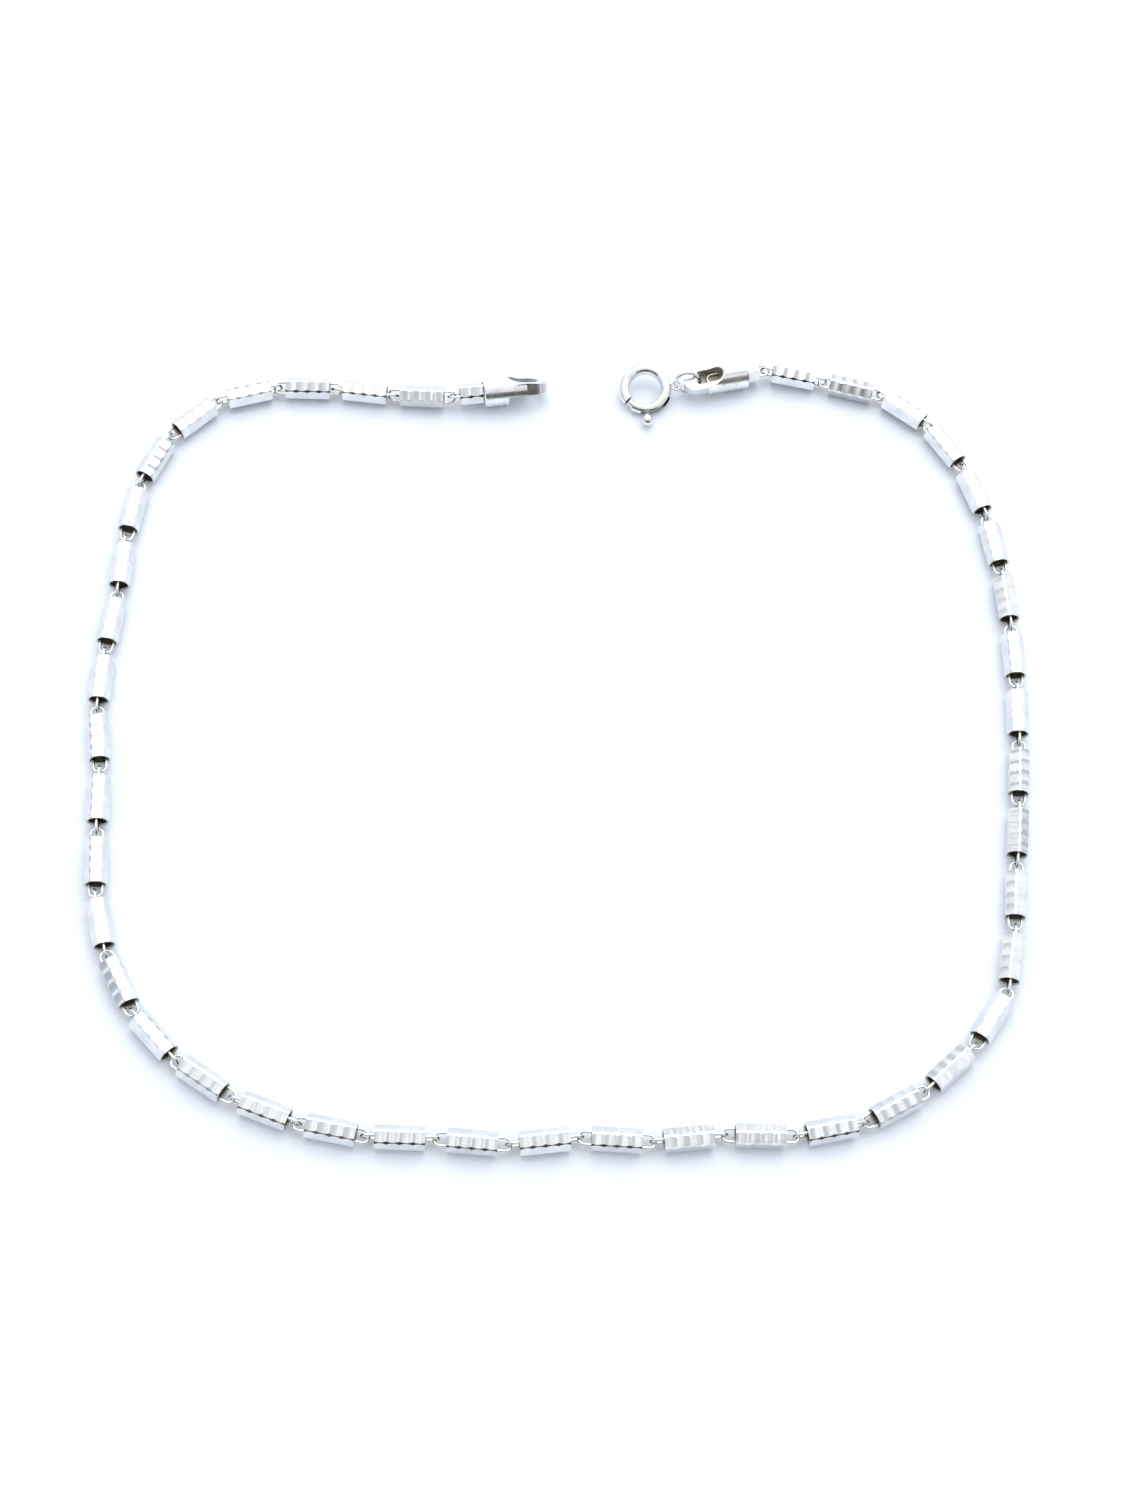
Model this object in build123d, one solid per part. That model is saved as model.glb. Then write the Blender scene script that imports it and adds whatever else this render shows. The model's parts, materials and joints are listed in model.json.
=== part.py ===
from build123d import *
import os
from math import cos, radians, sin, sqrt, tan

# Silver payal anklet, unclasped and laid in an open loop on a level surface.
# Millimetres, +Z up. Each bead is a hollow tube on its own long oval link, and
# neighbouring links hook into each other halfway between two beads.

# Tube beads, cut all round with rows of shallow concave scoops. The radius is that of
# the small flats left between the scoops
TUBE_COUNT = 42
TUBE_LENGTH = 4.15
TUBE_RADIUS = 1.0
BORE_RADIUS = 0.75
MOUTH_RADIUS = 0.85
MOUTH_DEPTH = 0.15
SCOOP_ROWS = 6
SCOOPS_IN_ROW = 4
SCOOP_PITCH = 1.07
SCOOP_DEPTH = 0.115
RIDGE_DEPTH = 0.055

# Links
PITCH = 5.9
SLACK = 0.445
SLACK_TUBES = (1, 2, 3, 14, 16, 19, 39, 40, 42)
GAP = PITCH - TUBE_LENGTH
WIRE = 0.24
LINK_WIDTH = 1.32
HOOK_CLEARANCE = 0.18
HOOK_REACH = WIRE + HOOK_CLEARANCE / 2
LINK_LENGTH = PITCH + 2 * HOOK_REACH

# End caps: a cup that dips and flattens into a wide loop with a long eye
CAP_LENGTH = 6.25
CAP_RADIUS = 1.4
RIM_CHAMFER = 0.12
CUP_LENGTH = 2.3
CUP_BORE_RADIUS = TUBE_RADIUS + 0.07
CUP_BORE_DEPTH = 1.95
LOOP_NECK_HALF_WIDTH = 1.1
LOOP_HALF_WIDTH = 1.22
LOOP_WIDE_FROM = 3.3
LOOP_FLAT_FROM = 4.1
LOOP_TOP = 0.8
LOOP_TIP_TOP = 0.55
LOOP_UNDERSIDE = 0.35
EYE_START = 2.45
EYE_END = 5.3
EYE_WIDTH = 1.4
EYE_FLOOR_END = 4.3
EYE_FLOOR_THICKNESS = 0.15
TUBE_IN_CUP = 1.85
END_LINK_IN_EYE = 1.5

# Spring ring clasp: a hollow ring with a gap, the gate that closes it, an eyelet
RING_RADIUS = 2.55
RING_TUBE = 0.55
RING_BORE = 0.44
RING_LINE = RING_RADIUS - RING_TUBE
RING_GAP = 0.85
RING_GAP_AT = 232
GATE_WIRE = 0.3
GATE_START = 227
GATE_END = 292
KNOB_AT = 278
KNOB_REACH = 1.99
KNOB_RADIUS = 0.55
KNOB_NECK = 0.16
KNOB_TAPER = 28
SLOT_START = 264
SLOT_END = 344
SLOT_WIDTH = 0.44
SLOT_RISE = 24
EYELET_AT = 12.5
EYELET_WIRE = 0.13
EYELET_LINE = 0.45
EYELET_INTO_RING = 0.045
EYELET_FROM_CENTRE = RING_RADIUS + EYELET_LINE - EYELET_INTO_RING
JUMP_WIRE = 0.2
JUMP_LINE = 1.17

# How it lies: the line that the links' hooks follow, from the eye end round the
# loop to the clasp end, and the places of the end pieces
LAY = [
    (-12.8, 33.4), (-18.3, 33.2), (-29.1, 32.9), (-34.4, 31.0), (-40.5, 21.2), (-40.7, 9.3),
    (-40.6, -2.5), (-39.4, -8.2), (-37.9, -19.6), (-33.2, -30.0), (-24.2, -36.7), (-13.0, -39.1),
    (-1.5, -38.6), (16.0, -36.7), (27.9, -34.5), (37.1, -27.1), (40.2, -21.6), (40.8, -16.0),
    (41.3, 2.0), (39.8, 19.7), (36.1, 30.8), (28.4, 38.0), (22.8, 39.0), (17.2, 39.6), (11.0, 37.5),
]
ZIGZAG = 0.25
ZIGZAG_HOOKS = range(20, 25)
END_HOOK_HEIGHT = 1.2
EYE_END_HEADING = 13
CLASP_END_HEADING = 17.7
EYE_END_TUBE_SHOWS = 2.25
CLASP_END_TUBE_SHOWS = 1.15
EYE_END_ROLL = -40
CLASP_END_ROLL = -5
# How far each bead has rolled outwards from lying with a row of scoops on top
TUBE_ROLLS = [
    28, -16, -20, -11, -15, -22, -8, -9, -9, -5, 5, -4, -8, -8, -16, -6, 9, 12, 11, 14, 18,
    8, 18, 26, 28, 16, 18, 20, 0, 19, 19, 30, 26, -11, -4, 19, -12, -4, -13, -7, 20, -18,
]
LINK_UNTWIST = 16
JUMP_RING_ROUND_TIP = (5.82, -0.03)
JUMP_RING_HEIGHT = 1.55
JUMP_RING_HEADING = 189
JUMP_RING_LEAN = 15
CLASP_TILT = 16

UP = Vector(0, 0, 1)


def tube_bead(length):
    """Hollow six-sided tube along X, centred, with scoops along its edges and countersunk mouths."""
    sides = RegularPolygon(TUBE_RADIUS, SCOOP_ROWS, major_radius=False)
    tube = extrude(sides, length / 2, both=True) - Cylinder(BORE_RADIUS, length)
    flare = Cone(BORE_RADIUS, MOUTH_RADIUS, MOUTH_DEPTH)
    to_mouth = Pos(0, 0, (length - MOUTH_DEPTH) / 2)
    tube = tube - to_mouth * flare - Rot(180, 0, 0) * to_mouth * flare
    sagitta = SCOOP_DEPTH - RIDGE_DEPTH
    scoop_radius = (SCOOP_PITCH / 2) ** 2 / (2 * sagitta)
    lift = TUBE_RADIUS - SCOOP_DEPTH + scoop_radius
    scoop = Rot(90, 0, 0) * Cylinder(scoop_radius, 2 * TUBE_RADIUS)
    first = (1 - SCOOPS_IN_ROW) / 2
    row = [Pos((first + place) * SCOOP_PITCH, 0, lift) * scoop for place in range(SCOOPS_IN_ROW)]
    return Rot(0, 90, 0) * tube - [
        Rot(side * 360 / SCOOP_ROWS, 0, 0) * cut for side in range(SCOOP_ROWS) for cut in row
    ]


def oval_link(length):
    """Closed wire link along X, lying in the XY plane, centred."""
    bend = (LINK_WIDTH - WIRE) / 2
    leg = length / 2 - LINK_WIDTH / 2
    route = Wire([
        Line((-leg, -bend), (leg, -bend)),
        RadiusArc((leg, -bend), (leg, bend), -bend),
        Line((leg, bend), (-leg, bend)),
        RadiusArc((-leg, bend), (-leg, -bend), -bend),
    ])
    section = Plane(origin=(0, -bend, 0), z_dir=(1, 0, 0)) * Circle(WIRE / 2)
    return sweep(section, path=route)


def end_cap(tube_shows):
    """Cup and loop along +X from the cup's rim at the origin, with the end link soldered in.

    The loop's eye opens along Z, right through only near its tip: a thin floor closes the rest
    below. Above, the metal dips in a hollow from the cup to the loop.
    """
    to_right = Rot(0, 90, 0)
    from_rim = (Align.CENTER, Align.CENTER, Align.MIN)
    cup = to_right * Cylinder(CAP_RADIUS, LOOP_FLAT_FROM, align=from_rim)
    cup = chamfer(cup.edges().sort_by(Axis.X)[0], RIM_CHAMFER)
    side = Polyline(
        (CUP_BORE_DEPTH, 0),
        (CUP_BORE_DEPTH, LOOP_NECK_HALF_WIDTH),
        (CUP_LENGTH, LOOP_NECK_HALF_WIDTH),
        (LOOP_WIDE_FROM, LOOP_HALF_WIDTH),
        (CAP_LENGTH - LOOP_HALF_WIDTH, LOOP_HALF_WIDTH),
    )
    nose = RadiusArc(side @ 1, (CAP_LENGTH, 0), LOOP_HALF_WIDTH)
    half = make_face(side + nose + Line((CAP_LENGTH, 0), (CUP_BORE_DEPTH, 0)))
    outline = half + mirror(half, Plane.XZ)
    plate = extrude(Pos(0, 0, -LOOP_UNDERSIDE) * outline, LOOP_TOP + LOOP_UNDERSIDE)
    dip = TangentArc((LOOP_FLAT_FROM, LOOP_TOP), (CUP_LENGTH, CAP_RADIUS), tangent=(-1, 0))
    sky = Polyline(
        (CUP_LENGTH, CAP_RADIUS),
        (CUP_LENGTH, 2 * CAP_RADIUS),
        (CAP_LENGTH, 2 * CAP_RADIUS),
        (CAP_LENGTH, LOOP_TIP_TOP),
        (LOOP_FLAT_FROM, LOOP_TOP),
    )
    above = make_face(dip + sky)
    loop_middle = (CUP_LENGTH + CAP_LENGTH) / 2
    below = Pos(loop_middle, -LOOP_UNDERSIDE - CAP_RADIUS) * Rectangle(
        CAP_LENGTH - CUP_LENGTH, 2 * CAP_RADIUS
    )
    body = cup + plate
    for cut in (above, below):
        body -= extrude(Plane.XZ * cut, 2 * CAP_RADIUS, both=True)
    eye = SlotOverall(EYE_END - EYE_START, EYE_WIDTH)
    body -= Pos((EYE_START + EYE_END) / 2, 0, 0) * extrude(eye, CAP_RADIUS, both=True)
    eye_floor = Box(EYE_FLOOR_END - CUP_LENGTH, LOOP_NECK_HALF_WIDTH * 2, EYE_FLOOR_THICKNESS)
    floor_middle = ((CUP_LENGTH + EYE_FLOOR_END) / 2, 0, EYE_FLOOR_THICKNESS / 2 - LOOP_UNDERSIDE)
    body += Pos(*floor_middle) * eye_floor
    bore = to_right * Cylinder(CUP_BORE_RADIUS, CUP_BORE_DEPTH, align=from_rim)
    hook = -tube_shows - GAP / 2 - HOOK_REACH
    far = EYE_START + END_LINK_IN_EYE
    return body - bore + Pos((hook + far) / 2, 0, 0) * oval_link(far - hook)


def turned(section, start, end):
    """A section drawn in radius and height, turned about Z from one angle to another."""
    return Rot(0, 0, start) * revolve(Plane.XZ * section, Axis.Z, end - start)


def spring_ring_body():
    """Hollow ring with its gap, the knob's slot and the soldered eyelet, centred in XY."""
    eyelet = Rot(0, 0, EYELET_AT) * Pos(EYELET_FROM_CENTRE, 0, 0) * Torus(EYELET_LINE, EYELET_WIRE)
    gap = Rot(0, 0, RING_GAP_AT) * Pos(RING_LINE, 0, 0) * Box(3 * RING_TUBE, RING_GAP, 3 * RING_TUBE)
    outwards = Pos(RING_LINE, 0) * Rot(0, 0, SLOT_RISE) * Pos(RING_TUBE, 0)
    slot = outwards * Rectangle(2 * RING_TUBE, SLOT_WIDTH)
    ring = Torus(RING_LINE, RING_TUBE) + eyelet - Torus(RING_LINE, RING_BORE) - gap
    return ring - turned(slot, SLOT_START, SLOT_END)


def spring_ring_trigger():
    """Gate wire that bridges the gap, with the pear-shaped knob that slides it back."""
    gate = turned(Pos(RING_LINE, 0) * Circle(GATE_WIRE), GATE_START, GATE_END)
    taper = radians(KNOB_TAPER)
    flare_radius = KNOB_RADIUS * cos(taper)
    flare_end = KNOB_REACH - KNOB_RADIUS * (1 + sin(taper))
    flare_start = flare_end - (flare_radius - KNOB_NECK) / tan(taper)
    stem = Polyline((0, 0), (0, KNOB_NECK), (flare_start, KNOB_NECK), (flare_end, flare_radius))
    crown = RadiusArc(stem @ 1, (KNOB_REACH, 0), KNOB_RADIUS)
    pear = revolve(make_face(stem + crown + Line((KNOB_REACH, 0), (0, 0))), Axis.X)
    return gate + Rot(0, 0, KNOB_AT) * Pos(RING_LINE, 0, 0) * Rot(0, -SLOT_RISE, 0) * pear


def hook_points():
    """The point where each pair of links hooks together, spaced along the lay.

    They are a pitch apart, or less where the chain lies slack.
    """
    line = Spline([Vector(x, y) for x, y in LAY])
    here = line @ 0
    along = 0
    points = [here]
    for number in range(1, TUBE_COUNT + 1):
        chord = PITCH - SLACK if number in SLACK_TUBES else PITCH
        step = chord
        for _ in range(4):
            ahead = line.position_at(along + step, position_mode=PositionMode.LENGTH)
            step += chord - (ahead - here).length
        along += step
        here = line.position_at(along, position_mode=PositionMode.LENGTH)
        points.append(here)
    for number in ZIGZAG_HOOKS:
        run = points[number + 1] - points[number - 1]
        aside = UP.cross(run).normalized() * ZIGZAG * (-1) ** number
        points[number] += aside
    heights = [END_HOOK_HEIGHT] + [TUBE_RADIUS] * (TUBE_COUNT - 1) + [END_HOOK_HEIGHT]
    return [point + UP * height for point, height in zip(points, heights)]


def lying_between(start, end, roll):
    """Location halfway from start to end, X along the line, turned about it by roll."""
    run = end - start
    level = UP.cross(run)
    return Plane(origin=(start + end) / 2, x_dir=run, z_dir=run.cross(level)).location * Rot(roll, 0, 0)


def link_roll(number):
    """Neighbours lie crosswise, and the first few are twisted by the rolled cap."""
    twist = max(0, 90 + EYE_END_ROLL - LINK_UNTWIST * (number - 1))
    return 90 * (number - 1) - twist


def chain(hooks):
    """The tube beads, each a node of its own, and their links as one node of loose solids."""
    bead = tube_bead(TUBE_LENGTH)
    link = oval_link(LINK_LENGTH)
    parts = {}
    links = []
    for number, (start, end) in enumerate(zip(hooks, hooks[1:]), 1):
        parts[f"tube_{number:02d}"] = lying_between(start, end, TUBE_ROLLS[number - 1]) * bead
        links.append(lying_between(start, end, link_roll(number)) * link)
    parts["link_chain"] = Compound(links)
    return parts


def capped_end(hook, heading, roll, tube_shows):
    """Where a cap's rim lies, the cap, and the cut tube that sits in its cup."""
    below = Pos(hook.X, hook.Y, CAP_RADIUS)
    rim = below * Rot(0, 0, heading) * Pos(GAP / 2 + tube_shows, 0, 0) * Rot(roll, 0, 0)
    length = tube_shows + TUBE_IN_CUP
    tube = rim * Pos(length / 2 - tube_shows, 0, 0) * tube_bead(length)
    return rim, rim * end_cap(tube_shows), tube


def clasp(rim):
    """The jump ring round the cap's tip, and the spring ring that hangs on it by its eyelet."""
    hold = (rim * Pos(*JUMP_RING_ROUND_TIP)).position
    stand = Pos(hold.X, hold.Y, JUMP_RING_HEIGHT) * Rot(0, 0, JUMP_RING_HEADING)
    stand *= Rot(90 + JUMP_RING_LEAN, 0, 0)
    seat_height = RING_LINE * sin(radians(CLASP_TILT)) + RING_TUBE
    to_eyelet = Vector(EYELET_FROM_CENTRE, 0, 0).rotate(Axis.Z, EYELET_AT).rotate(Axis.X, CLASP_TILT)
    up = (seat_height + to_eyelet.Z - JUMP_RING_HEIGHT) / cos(radians(JUMP_RING_LEAN))
    eyelet = (stand * Pos(sqrt(JUMP_LINE ** 2 - up ** 2), up, 0)).position
    seat = Pos(eyelet - to_eyelet) * Rot(CLASP_TILT, 0, 0)
    parts = {
        "jump_ring": stand * Torus(JUMP_LINE, JUMP_WIRE),
        "spring_ring_body": seat * spring_ring_body(),
        "spring_ring_trigger": seat * spring_ring_trigger(),
    }
    return seat, parts


def anklet():
    hooks = hook_points()
    parts = chain(hooks)
    _, parts["end_cap_eye"], parts["end_tube_eye"] = capped_end(
        hooks[0], EYE_END_HEADING, EYE_END_ROLL, EYE_END_TUBE_SHOWS)
    rim, parts["end_cap_clasp"], parts["end_tube_clasp"] = capped_end(
        hooks[-1], 180 + CLASP_END_HEADING, CLASP_END_ROLL, CLASP_END_TUBE_SHOWS)
    seat, clasp_parts = clasp(rim)
    parts.update(clasp_parts)
    box = Compound(list(parts.values())).bounding_box()
    to_origin = Pos(-box.center().X, -box.center().Y, -box.min.Z)
    print("size", box.size)
    print("clasp", to_origin * seat)
    return {name: to_origin * part for name, part in parts.items()}


os.makedirs("parts", exist_ok=True)
for name, part in anklet().items():
    export_step(part, f"parts/{name}.step")
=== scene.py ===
import bmesh
import bpy
import json
import numpy as np
from math import radians
from mathutils import Euler, Matrix, Vector

# Silver anklet on a pale floor. Metres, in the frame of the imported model.

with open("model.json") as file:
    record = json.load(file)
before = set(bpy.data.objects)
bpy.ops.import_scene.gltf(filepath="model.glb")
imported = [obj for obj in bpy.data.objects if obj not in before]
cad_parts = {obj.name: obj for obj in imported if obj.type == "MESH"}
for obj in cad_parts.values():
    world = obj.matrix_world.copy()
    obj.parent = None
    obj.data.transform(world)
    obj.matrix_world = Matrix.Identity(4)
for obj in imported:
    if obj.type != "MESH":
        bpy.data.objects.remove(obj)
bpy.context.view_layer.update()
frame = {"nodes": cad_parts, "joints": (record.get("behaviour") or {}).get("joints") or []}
GATE_SLIDE = frame["joints"][0]
MM = 0.001

# Camera: in front of the anklet and above it, looking down, and how far it rolls
CAMERA_AT_MM = (0.59, -90.01, 180.41)
CAMERA_ELEVATION = 64.11
CAMERA_ROLL = 4.99
LENS_MM = 54.1
SENSOR_MM = 36.0
NEAREST_SEEN = 0.01

# Colours of the silver
POLISHED = (0.80, 0.81, 0.82, 1)
GREYED = (0.68, 0.69, 0.70, 1)
CAST = (0.87, 0.875, 0.88, 1)
CAST_SHADE = (0.76, 0.765, 0.77, 1)
DRAWN_WIRE = (0.88, 0.87, 0.85, 1)
WIRE_SHADE = (0.66, 0.64, 0.60, 1)
# Tarnish in the beads' bores; in the clasp cap's eye it also stands for painted shade of the hollow
OXIDE_AND_EYE_SHADE = (0.44, 0.41, 0.34, 1)
# Painted shade: near black inside the spring ring's tube at its mouth
MOUTH_PAINTED_SHADE = (0.08, 0.075, 0.06, 1)

# Clouding: how many clouds to a millimetre, and where in the noise it starts and is full
BEAD_CLOUDS = 0.9
CAST_CLOUDS = 1.1
CLOUD_COLOUR = (0.35, 0.75)
CLOUD_SATIN = (0.3, 0.8)

# Roughness, and how much clouding and tarnish add to it
POLISH = 0.1
SATIN = 0.2
BEAD_CLOUD_SATIN = 0.1
CAST_CLOUD_SATIN = 0.12
TARNISH_SATIN = 0.25

# Fine relief: tool streaks that are long on the beads, and grain elsewhere, by the millimetre
STREAKS = 3.0
STREAK_STRETCH = (4, 0.3, 0.3)
WIRE_GRAIN = 9
CAST_GRAIN = 7
CAP_GRAIN = 6
RELIEF_STRENGTH = 0.2
RELIEF_DEPTH_MM = 0.004

# Beads: the bore is tarnished from its edge inwards
BORE_EDGE_MM = 0.87
BORE_WALL_MM = 0.78

# How far past a darkened wall (tarnish, and painted shade) its mark ends, and how near to it the mark
# is full
MARK_ENDS_MM = 0.04
MARK_FULL_MM = 0.01

# Clasp end's cap: the middle of its cup's rim, how it is rolled and headed, and its eye
CAP_RIM_MM = (14.987, 38.759, 1.4125)
CAP_ROLL = -5
CAP_HEADING = 197.7
EYE_MIDDLE_MM = 3.875
EYE_STRAIGHT_MM = 0.725
EYE_RADIUS_MM = 0.7
EYE_FLOOR_TOP_MM = -0.2

# Spring ring, around the gate's hinge line: inside its tube on the mouth's side, shade is painted near
# black
RING_LINE_MM = 2.0
RING_BORE_MM = 0.44
RING_MOUTH_SIDE_MM = (-0.2, -0.6)

# Floor
FLOOR_WHITE = (0.87, 0.915, 0.99, 1)
FLOOR_HALF_WIDTH = 1.5

# Room: its colours, and where each starts and is full. A direction's height runs from 0 to 1.
ROOM_WHITE = (0.94, 0.96, 0.99, 1)
ROOM_GREY = (0.54, 0.56, 0.59, 1)
ROOM_LOW = (0.42, 0.45, 0.50, 1)
ROOM_STRENGTH = 1.27
ROOM_PATCHES = 2.5
GREY_PATCHES = (0.45, 0.6)
FAR_WALL = (0.1, 0.7)
HIGH_WALLS = (0.05, 0.6)

# The room's dim side, where the camera stands: its edges beside, below and above
DIM_SIDE = (0.16, 0.15, 0.115, 1)
DIM_SIDE_DEEP = (0.05, 0.045, 0.035, 1)
DEEP_PATCHES = (0.45, 0.55)
DIM_BESIDE = (0.1, -0.15)
DIM_BELOW = (0.04, 0.12)
DIM_ABOVE = (0.73, 0.65)

# Window: high up behind the anklet
WINDOW_AT = (0.05, 0.5, 0.8)
WINDOW_SIZE = 1.1
WINDOW_WATTS = 4.8
WINDOW_COLOUR = (1.0, 0.985, 0.95)


class Value:
    """One output of a node, which can be used in sums."""

    def __init__(self, shader, made, output=0):
        self.shader = shader
        self.made = made
        self.output = output

    def out(self, *outputs):
        """Several outputs of the same node, by name."""
        return [Value(self.shader, self.made, output) for output in outputs]

    def maths(self, operation, *others):
        return self.shader.node("ShaderNodeMath", {"operation": operation}, [self, *others])

    def __add__(self, other):
        return self.maths("ADD", other)

    def __sub__(self, other):
        return self.maths("SUBTRACT", other)

    def __rsub__(self, other):
        return self.maths("MULTIPLY", -1).maths("ADD", other)

    def __mul__(self, other):
        return self.maths("MULTIPLY", other)

    def __pow__(self, other):
        return self.maths("POWER", other)

    __radd__ = __add__
    __rmul__ = __mul__


class Shader:
    """A node tree with one way to add a node and one to finish it."""

    def __init__(self, owner):
        owner.use_nodes = True
        self.tree = owner.node_tree
        self.tree.nodes.clear()

    def node(self, kind, settings, values, output=0):
        """Adds a node. Settings come first, then its sockets, by place or by name."""
        made = self.tree.nodes.new(kind)
        for name, setting in settings.items():
            setattr(made, name, setting)
        pairs = values.items() if isinstance(values, dict) else enumerate(values)
        for name, value in pairs:
            if isinstance(value, Value):
                self.tree.links.new(value.made.outputs[value.output], made.inputs[name])
            else:
                made.inputs[name].default_value = value
        return Value(self, made, output)

    def step(self, value, start, end, low=0, high=1):
        """Low at start, high at end, and smooth between them, whichever of the two is larger."""
        return self.node(
            "ShaderNodeMapRange", {"interpolation_type": "SMOOTHSTEP"}, [value, start, end, low, high])

    def within(self, value, limit):
        """One inside a limit in millimetres and just past it, and nothing beyond."""
        return self.step(value, limit + MARK_ENDS_MM, limit + MARK_FULL_MM)

    def mix(self, share, first, second):
        """Mixes two colours. A Mix node's colours are its sockets 6 and 7, and its output 2."""
        return self.node("ShaderNodeMix", {"data_type": "RGBA"}, {0: share, 6: first, 7: second}, 2)

    def noise(self, at, scale, detail=3):
        return self.node("ShaderNodeTexNoise", {}, {"Vector": at, "Scale": scale, "Detail": detail})

    def axes(self, place):
        return self.node("ShaderNodeSeparateXYZ", {}, [place]).out("X", "Y", "Z")

    def local(self, middle=(0, 0, 0), turn=(0, 0, 0), stretch=(1, 1, 1)):
        """Object coordinates in millimetres, from a middle in metres, turned and stretched."""
        scale = [MM * share for share in stretch]
        here = self.node("ShaderNodeTexCoord", {}, {}, "Object")
        return self.node(
            "ShaderNodeMapping", {"vector_type": "TEXTURE"},
            {"Vector": here, "Location": middle, "Rotation": turn, "Scale": scale})

    def clouded(self, place, clouds, bright, shade, satin, cloud_satin):
        """A colour and a roughness that drift together in faint clouds."""
        cloud = self.noise(place, clouds)
        colour = self.mix(self.step(cloud, *CLOUD_COLOUR), bright, shade)
        return colour, self.step(cloud, *CLOUD_SATIN, satin, satin + cloud_satin)

    def metal(self, colour, roughness, relief):
        """Ends the tree in bare metal."""
        normal = self.node("ShaderNodeBump", {}, {
            "Strength": RELIEF_STRENGTH, "Distance": RELIEF_DEPTH_MM * MM, "Height": relief})
        bare = self.node("ShaderNodeBsdfPrincipled", {}, {
            "Base Color": colour, "Roughness": roughness, "Metallic": 1, "Normal": normal})
        self.node("ShaderNodeOutputMaterial", {}, [bare])


def metres(place_mm):
    return [MM * each for each in place_mm]


def long_axis(node):
    """The middle of a long node, and the turn that lays X along it."""
    points = np.array([vertex.co for vertex in node.data.vertices])
    middle = points.mean(0)
    _, directions = np.linalg.eigh(np.cov((points - middle).T))
    axis = directions[:, 2]
    reach = (points - middle) @ axis
    middle = middle + axis * (reach.max() + reach.min()) / 2
    turn = Vector((1, 0, 0)).rotation_difference(Vector(axis)).to_euler()
    return Vector(middle), turn


def bead_silver(node):
    """Bright cut silver outside, oxidised in the bore."""
    material = bpy.data.materials.new(f"bead_silver_{node.name}")
    shader = Shader(material)
    middle, turn = long_axis(node)
    place = shader.local(middle, turn)
    _, y, z = shader.axes(place)
    radius = (y * y + z * z) ** 0.5
    bore = shader.step(radius, BORE_EDGE_MM, BORE_WALL_MM)
    bright, roughness = shader.clouded(
        place, BEAD_CLOUDS, POLISHED, GREYED, POLISH, BEAD_CLOUD_SATIN)
    colour = shader.mix(bore, bright, OXIDE_AND_EYE_SHADE)
    streaks = shader.noise(shader.local(middle, turn, STREAK_STRETCH), STREAKS)
    shader.metal(colour, roughness + bore * TARNISH_SATIN, streaks)
    return material


def cast_silver(name, bright, shade, grain, satin=POLISH, tarnish_and_shade=OXIDE_AND_EYE_SHADE, where_tarnish_and_shade=None):
    """Drawn or cast silver with faint clouding, dark where the given mark, made from the shader, says:
    tarnish, and painted shade.
    """
    material = bpy.data.materials.new(name)
    shader = Shader(material)
    place = shader.local()
    colour, roughness = shader.clouded(place, CAST_CLOUDS, bright, shade, satin, CAST_CLOUD_SATIN)
    if where_tarnish_and_shade:
        # Tarnish, and painted shade, mixed in where the mark is
        dark = where_tarnish_and_shade(shader)
        colour = shader.mix(dark, colour, tarnish_and_shade)
        roughness = roughness + dark * TARNISH_SATIN
    shader.metal(colour, roughness, shader.noise(place, grain))
    return material


def in_eye(shader):
    """Marks the walls and the floor of the eye in the clasp end's cap: tarnish on them, and painted
    shade of the hollow.
    """
    place = shader.local(metres(CAP_RIM_MM), (radians(CAP_ROLL), 0, radians(CAP_HEADING)))
    x, y, z = shader.axes(place)
    past = ((x - EYE_MIDDLE_MM).maths("ABSOLUTE") - EYE_STRAIGHT_MM).maths("MAXIMUM", 0)
    from_middle = (past * past + y * y) ** 0.5
    wall = shader.step(from_middle, EYE_RADIUS_MM - MARK_ENDS_MM, EYE_RADIUS_MM - MARK_FULL_MM)
    bottom = shader.within(z, EYE_FLOOR_TOP_MM)
    return shader.within(from_middle, EYE_RADIUS_MM) * wall.maths("MAXIMUM", bottom)


def in_ring(shader):
    """Marks the inside of the spring ring's tube near its mouth, where shade is painted."""
    turn = Vector((0, 0, 1)).rotation_difference(Vector(GATE_SLIDE["axis"])).to_euler()
    x, y, z = shader.axes(shader.local(GATE_SLIDE["pos_m"], turn))
    aside = (x * x + y * y) ** 0.5 - RING_LINE_MM
    from_line = (aside * aside + z * z) ** 0.5
    return shader.within(from_line, RING_BORE_MM) * shader.step(x, *RING_MOUTH_SIDE_MM)


def dress():
    """Gives every piece its silver."""
    other = {
        "link_chain": cast_silver("link_silver", DRAWN_WIRE, WIRE_SHADE, WIRE_GRAIN),
        "jump_ring": cast_silver("jump_ring_silver", CAST, CAST_SHADE, CAST_GRAIN),
        # The spring ring's mouth is painted near black inside, as shade
        "spring_ring_body": cast_silver(
            "spring_ring_silver", CAST, CAST_SHADE, CAST_GRAIN,
            tarnish_and_shade=MOUTH_PAINTED_SHADE, where_tarnish_and_shade=in_ring),
        "spring_ring_trigger": cast_silver("trigger_silver", CAST, CAST_SHADE, CAST_GRAIN),
        "end_cap_eye": cast_silver("eye_cap_silver", CAST, CAST_SHADE, CAP_GRAIN, SATIN),
        # The clasp cap's eye is painted dark: tarnish, and shade of its hollow
        "end_cap_clasp": cast_silver(
            "clasp_cap_silver", CAST, CAST_SHADE, CAP_GRAIN, SATIN, where_tarnish_and_shade=in_eye),
    }
    for name, node in frame["nodes"].items():
        node.data.materials.clear()
        node.data.materials.append(other.get(name) or bead_silver(node))


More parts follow.
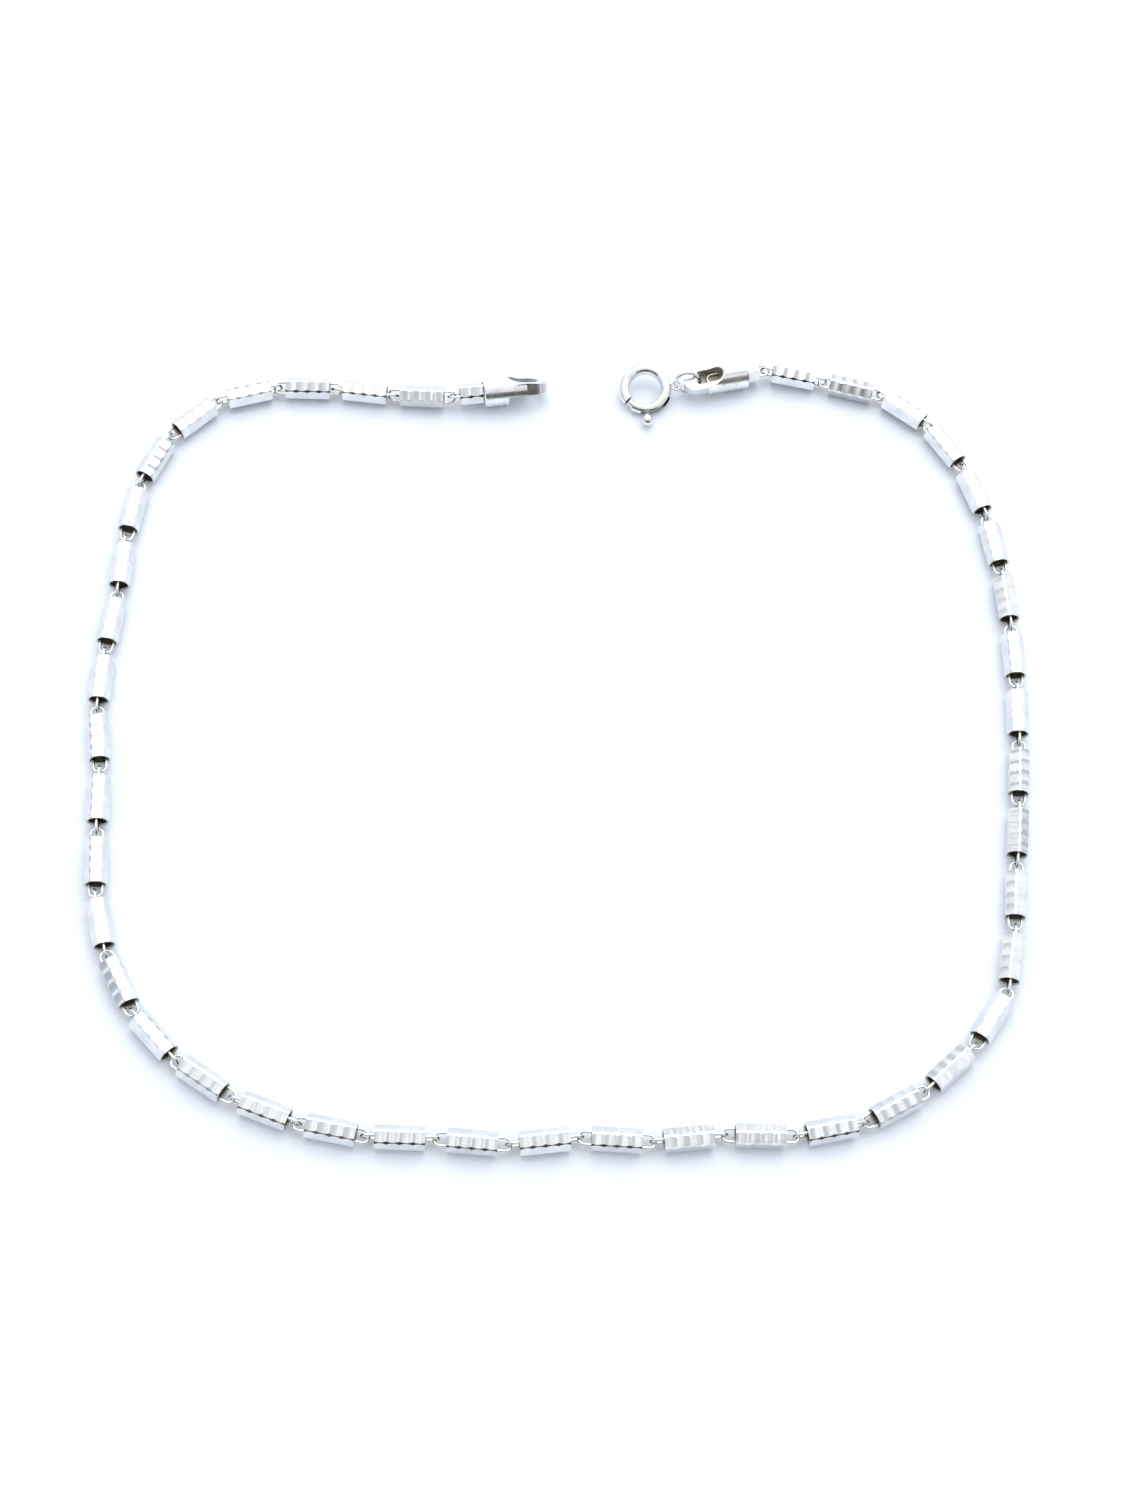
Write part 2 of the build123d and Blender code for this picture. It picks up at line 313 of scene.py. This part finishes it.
def floor():
    """A plain sheet of paper, well past the camera's view."""
    mesh = bpy.data.meshes.new("floor")
    made = bmesh.new()
    bmesh.ops.create_grid(made, x_segments=1, y_segments=1, size=FLOOR_HALF_WIDTH)
    made.to_mesh(mesh)
    made.free()
    piece = bpy.data.objects.new("floor", mesh)
    bpy.context.scene.collection.objects.link(piece)
    material = bpy.data.materials.new("floor_paper")
    shader = Shader(material)
    paper = shader.node("ShaderNodeBsdfDiffuse", {}, {"Color": FLOOR_WHITE})
    shader.node("ShaderNodeOutputMaterial", {}, [paper])
    mesh.materials.append(material)


def studio():
    """A white room with grey patches, blue-grey low down, and dim on the camera's side."""
    world = bpy.data.worlds.new("studio")
    bpy.context.scene.world = world
    shader = Shader(world)
    direction = shader.node("ShaderNodeTexCoord", {}, {}, "Generated")
    x, y, z = shader.axes(direction)
    patchy = shader.noise(direction, ROOM_PATCHES)
    high = shader.mix(shader.step(patchy, *GREY_PATCHES), ROOM_WHITE, ROOM_GREY)
    low = shader.mix(shader.step(y, *FAR_WALL), ROOM_LOW, high)
    room = shader.mix(shader.step(z, *HIGH_WALLS), low, high)
    beside = x.maths("ABSOLUTE") + y
    dim = shader.step(beside, *DIM_BESIDE) * shader.step(z, *DIM_BELOW) * shader.step(z, *DIM_ABOVE)
    dusk = shader.mix(shader.step(patchy, *DEEP_PATCHES), DIM_SIDE, DIM_SIDE_DEEP)
    colour = shader.mix(dim, room, dusk)
    background = shader.node("ShaderNodeBackground", {}, {"Color": colour, "Strength": ROOM_STRENGTH})
    shader.node("ShaderNodeOutputWorld", {}, [background])


def window():
    """One broad soft light that faces the anklet."""
    light = bpy.data.lights.new("window", "AREA")
    light.shape = "DISK"
    light.size = WINDOW_SIZE
    light.energy = WINDOW_WATTS
    light.color = WINDOW_COLOUR
    piece = bpy.data.objects.new("window", light)
    bpy.context.scene.collection.objects.link(piece)
    piece.location = WINDOW_AT
    piece.rotation_euler = Vector(WINDOW_AT).to_track_quat("Z", "Y").to_euler()


def camera():
    lens = bpy.data.cameras.new("camera")
    lens.lens = LENS_MM
    lens.sensor_width = SENSOR_MM
    lens.clip_start = NEAREST_SEEN
    piece = bpy.data.objects.new("camera", lens)
    bpy.context.scene.collection.objects.link(piece)
    piece.location = metres(CAMERA_AT_MM)
    tilt = Euler((radians(90 - CAMERA_ELEVATION), 0, 0)).to_matrix()
    piece.rotation_euler = (tilt @ Matrix.Rotation(radians(CAMERA_ROLL), 3, "Z")).to_euler()
    bpy.context.scene.camera = piece


camera()
dress()
floor()
studio()
window()
bpy.context.scene.view_settings.view_transform = "Standard"
